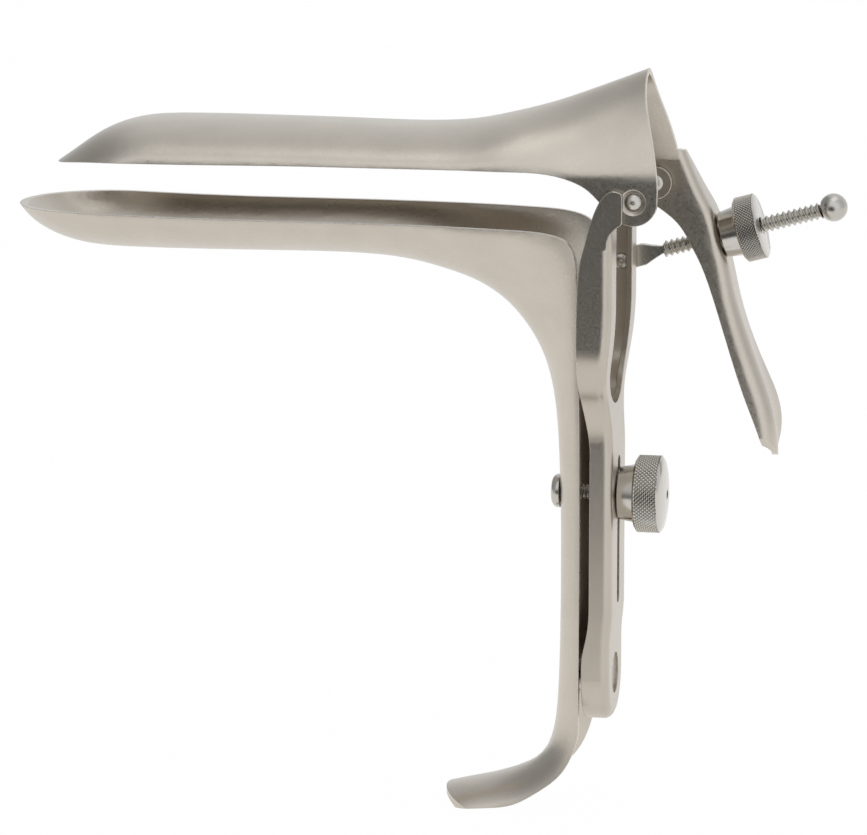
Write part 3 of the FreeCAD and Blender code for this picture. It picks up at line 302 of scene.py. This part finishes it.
def turned_round(piece, steps, pitch=0.0, turns=1):
    """Turn the drawn line about the X axis, or sweep it along as a thread, and set its normals outwards."""
    sweep = piece.modifiers.new("sweep", "SCREW")
    sweep.axis = "X"
    sweep.steps = steps
    sweep.render_steps = steps
    sweep.screw_offset = pitch * mm
    sweep.iterations = turns
    sweep.use_merge_vertices = pitch == 0
    sweep.merge_threshold = 0.00001
    bpy.ops.object.modifier_apply(modifier="sweep")
    bpy.ops.object.mode_set(mode="EDIT")
    bpy.ops.mesh.select_all(action="SELECT")
    bpy.ops.mesh.remove_doubles(threshold=0.000005)
    bpy.ops.mesh.normals_make_consistent(inside=False)
    bpy.ops.object.mode_set(mode="OBJECT")


def cut_thread(piece, shift, low, high):
    """Move a swept thread along its axis and cut it flat and closed at both ends."""
    bpy.ops.object.mode_set(mode="EDIT")
    bpy.ops.mesh.select_all(action="SELECT")
    bpy.ops.transform.translate(value=(shift * mm, 0, 0))
    for cut, outer in ((low, False), (high, True)):
        bpy.ops.mesh.select_all(action="SELECT")
        bpy.ops.mesh.bisect(plane_co=(cut * mm, 0, 0), plane_no=(1, 0, 0), use_fill=True, clear_inner=not outer,
                            clear_outer=outer)
    bpy.ops.object.mode_set(mode="OBJECT")


def pick(piece, kind, wanted):
    """In edit mode, select just the vertices, edges or faces whose middle, in millimetres, is wanted."""
    bpy.ops.mesh.select_mode(type=kind)
    bpy.ops.mesh.select_all(action="DESELECT")
    bpy.ops.object.mode_set(mode="OBJECT")
    mesh = piece.data
    parts = {"VERT": mesh.vertices, "EDGE": mesh.edges, "FACE": mesh.polygons}[kind]
    for part in parts:
        if kind == "VERT":
            middle = part.co
        elif kind == "FACE":
            middle = part.center
        else:
            middle = (mesh.vertices[part.vertices[0]].co + mesh.vertices[part.vertices[1]].co) / 2
        part.select = bool(wanted(middle / mm))
    bpy.ops.object.mode_set(mode="EDIT")


def joined(first, *others):
    """Join pieces into the first and shade its rounds smooth."""
    bpy.ops.object.select_all(action="DESELECT")
    for part in (first, *others):
        part.select_set(True)
    bpy.context.view_layer.objects.active = first
    bpy.ops.object.join()
    bpy.ops.object.shade_smooth_by_angle(angle=math.radians(32))


def put(piece, spot, climb):
    """Lay a finished piece on its axis in the frame, and apply that to its mesh."""
    piece.location = spot
    piece.rotation_euler = (0, -climb, 0)
    bpy.ops.object.select_all(action="DESELECT")
    piece.select_set(True)
    bpy.context.view_layer.objects.active = piece
    bpy.ops.object.transform_apply(location=True, rotation=True, scale=True)


screw_thread = drawn_line("threaded_opening_screw", [(0, 1.19), (0.1, 1.22), (0.5, 1.68), (0.57, 1.75), (0.63, 1.75),
                                                     (0.7, 1.68), (1.1, 1.22), (1.2, 1.19)])
turned_round(screw_thread, thread_steps, thread_pitch, thread_turns)
cut_thread(screw_thread, thread_start, thread_start + 1.1, thread_end)

bpy.ops.object.select_all(action="DESELECT")
bpy.ops.mesh.primitive_cylinder_add(vertices=48, radius=eye_radius * mm, depth=2 * eye_half * mm,
                                    end_fill_type="NOTHING", rotation=(math.pi / 2, 0, 0))
screw_eye = bpy.context.object
bpy.ops.object.transform_apply(location=True, rotation=True, scale=True)
bpy.ops.object.mode_set(mode="EDIT")
for hand in (-eye_half, eye_half):
    pick(screw_eye, "EDGE", lambda spot: abs(spot.y - hand) < 0.01)
    bpy.ops.mesh.extrude_edges_move()
    bpy.ops.transform.resize(value=(eye_bore / eye_radius, 1, eye_bore / eye_radius), center_override=(0, 0, 0))
pick(screw_eye, "EDGE",
     lambda spot: abs(abs(spot.y) - eye_half) < 0.01 and abs(math.hypot(spot.x, spot.z) - eye_bore) < 0.02)
bpy.ops.mesh.bridge_edge_loops()
pick(screw_eye, "FACE", lambda spot: abs(spot.y) < eye_half / 2 and spot.x > 2.2 and abs(spot.z) < 2.1)
bpy.ops.mesh.extrude_region_move()
bpy.ops.transform.translate(value=(2.0 * mm, 0, 0))
bpy.ops.transform.resize(value=(0, 1, 1), center_override=(4.6 * mm, 0, 0))
for length, thinner, narrower in ((2.2, 0.9, 0.62), (1.6, 0.8, 0.6)):
    bpy.ops.mesh.extrude_region_move(TRANSFORM_OT_translate={"value": (length * mm, 0, 0)})
    bpy.ops.transform.resize(value=(1, thinner, narrower))
bpy.ops.mesh.extrude_region_move(TRANSFORM_OT_translate={"value": (2.0 * mm, 0, 0)})
bpy.ops.mesh.select_all(action="SELECT")
bpy.ops.mesh.normals_make_consistent(inside=False)
bpy.ops.mesh.select_mode(type="EDGE")
bpy.ops.mesh.select_all(action="DESELECT")
bpy.ops.mesh.edges_select_sharp(sharpness=math.radians(50))
bpy.ops.mesh.bevel(offset=0.22 * mm, segments=2, affect="EDGES", clamp_overlap=True)
bpy.ops.object.mode_set(mode="OBJECT")
joined(screw_thread, screw_eye)
put(screw_thread, eye_place, rise)
screw_steel = blasted_steel("cut screw stainless", "#C4C0B8", roughness=0.24, grit_mm=0.3, edge_mm=0.05,
                            blotch_mm=3.0, groove_shade_mm=0.4)
screw_thread.data.materials.append(screw_steel)
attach(screw_thread, "swing_screw")
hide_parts("opening_screw")

# The ball on the screw's end, which stops the nut. Turned stainless, polished in a drum, so that it mirrors the tent
# softly.
polished_steel = blasted_steel("drum-polished stainless", "#C4C0B9", roughness=0.25, grit_mm=0.5, edge_mm=0.2,
                               blotch_mm=2.0)
coat_node("screw_end_ball", polished_steel)


# The opening nut. Turned stainless with a smooth tapered collar and a rolled diamond knurl; the knurl's points are
# bright, and its grooves are darkened with painted shade. Its sizes are along the nut's own axis from the collar's
# front.
def knurled(name, front, knurl_start, rings, knurl_length, radius, groove, diamonds, back):
    """A nut turned from a front profile, a knurl of diamonds and a back profile, all in millimetres."""
    columns = 2 * diamonds
    band = [(knurl_start + knurl_length * ring / rings, radius) for ring in range(rings + 1)]
    nut = drawn_line(name, front + band + back)
    turned_round(nut, columns)
    bpy.ops.object.mode_set(mode="EDIT")

    def in_groove(spot):
        ring = (spot.x - knurl_start) / knurl_length * rings
        if abs(math.hypot(spot.y, spot.z) - radius) > 0.01 or not -0.01 < ring < rings + 0.01:
            return False
        column = math.atan2(spot.y, spot.z) / (2 * math.pi) * columns
        return (round(ring) + round(column)) % 2 == 0

    pick(nut, "VERT", in_groove)
    bpy.ops.transform.resize(value=(1, (radius - groove) / radius, (radius - groove) / radius),
                             center_override=(0, 0, 0))
    bpy.ops.mesh.vert_connect()
    bpy.ops.object.mode_set(mode="OBJECT")
    bpy.ops.object.shade_smooth_by_angle(angle=math.radians(28))
    return nut


lever_back = 21.42
lever_gap = 0.35
nut_seat = lever_back + lever_gap
opening_nut = knurled("knurled_opening_nut",
                      front=[(0, 1.81), (0, 4.6), (0.12, 4.75), (3.45, 5.25), (3.5, 5.35), (3.5, 6.2), (3.62, 6.35),
                             (3.85, 6.6)],
                      knurl_start=4.0, rings=11, knurl_length=3.75, radius=6.85, groove=0.28, diamonds=64,
                      back=[(7.9, 6.7), (8.15, 6.35), (8.2, 6.2), (8.2, 2.1), (7.9, 1.81), (0, 1.81)])
put(opening_nut, eye_place + Vector((math.cos(rise), 0, math.sin(rise))) * nut_seat * mm, rise)
knurled_steel = blasted_steel("rolled knurled stainless", "#CBC7C0", roughness=0.2, grit_mm=0.3, edge_mm=0.04,
                              blotch_mm=3.0, groove_shade_mm=0.4)
opening_nut.data.materials.append(knurled_steel)
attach(opening_nut, "opening_nut")
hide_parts("opening_nut")

# The clamp screw. A carriage screw of stainless: a pressed pan head, a square neck that keeps it from turning in the
# handle, and a fine rolled thread through the yoke's slot into the clamp nut.
clamp_place = Vector((0, 0, -62.5)) * mm
neck_front = -17.05
neck_end = -14.4
neck_half = 1.9
clamp_end = 3.5
clamp_thread = drawn_line("carriage_clamp_screw", [(0, 1.13), (0.07, 1.15), (0.32, 1.43), (0.37, 1.49), (0.43, 1.49),
                                                   (0.48, 1.43), (0.73, 1.15), (0.8, 1.13)])
turned_round(clamp_thread, 24, 0.8, 24)
cut_thread(clamp_thread, neck_end - 0.9, neck_end - 0.05, clamp_end)

clamp_head = drawn_line("pan_head", [(-18.9, 0), (-18.88, 1.6), (-18.75, 2.5), (-18.45, 3.05), (-18.0, 3.38),
                                     (-17.5, 3.49), (-17.1, 3.5), (-17.0, 3.42), (-17.0, 0)])
turned_round(clamp_head, 40)

bpy.ops.object.select_all(action="DESELECT")
bpy.ops.mesh.primitive_cube_add(size=1, location=(0, 0, 0))
clamp_neck = bpy.context.object
bpy.ops.object.mode_set(mode="EDIT")
bpy.ops.transform.resize(value=((neck_end - neck_front) * mm, 2 * neck_half * mm, 2 * neck_half * mm))
bpy.ops.transform.translate(value=((neck_end + neck_front) / 2 * mm, 0, 0))
bpy.ops.mesh.bevel(offset=0.25 * mm, segments=2, affect="EDGES")
bpy.ops.object.mode_set(mode="OBJECT")
joined(clamp_thread, clamp_head, clamp_neck)
put(clamp_thread, clamp_place, 0.0)
clamp_thread.data.materials.append(screw_steel)
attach(clamp_thread, "lower_jaw")
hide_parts("clamp_screw")

# The clamp nut. Turned and knurled like the opening nut, but larger, with a domed end that has a small hole in its
# middle. It sits on the clamp screw behind the yoke's stem.
nut_front = Vector((-4.8, 0, 0)) * mm
clamp_nut = knurled("knurled_clamp_nut",
                    front=[(0, 1.56), (0, 5.2), (0.15, 5.4), (3.45, 6.1), (3.5, 6.2), (3.5, 7.3), (3.62, 7.45),
                           (3.85, 7.75)],
                    knurl_start=4.05, rings=10, knurl_length=4.4, radius=8.0, groove=0.3, diamonds=60,
                    back=[(8.6, 7.85), (8.85, 7.5), (9.05, 7.2), (9.45, 5.6), (9.7, 4.0), (9.85, 2.4), (9.9, 1.1),
                          (9.85, 0.9), (8.8, 0.9), (8.8, 1.56), (0, 1.56)])
put(clamp_nut, clamp_place + nut_front, 0.0)
clamp_nut.data.materials.append(knurled_steel)
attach(clamp_nut, "clamp_nut")
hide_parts("clamp_nut")

# The guide stud. Turned stainless, riveted through the yoke's foot, with a dished polished face that mirrors the
# tent softly.
coat_node("guide_stud", polished_steel)
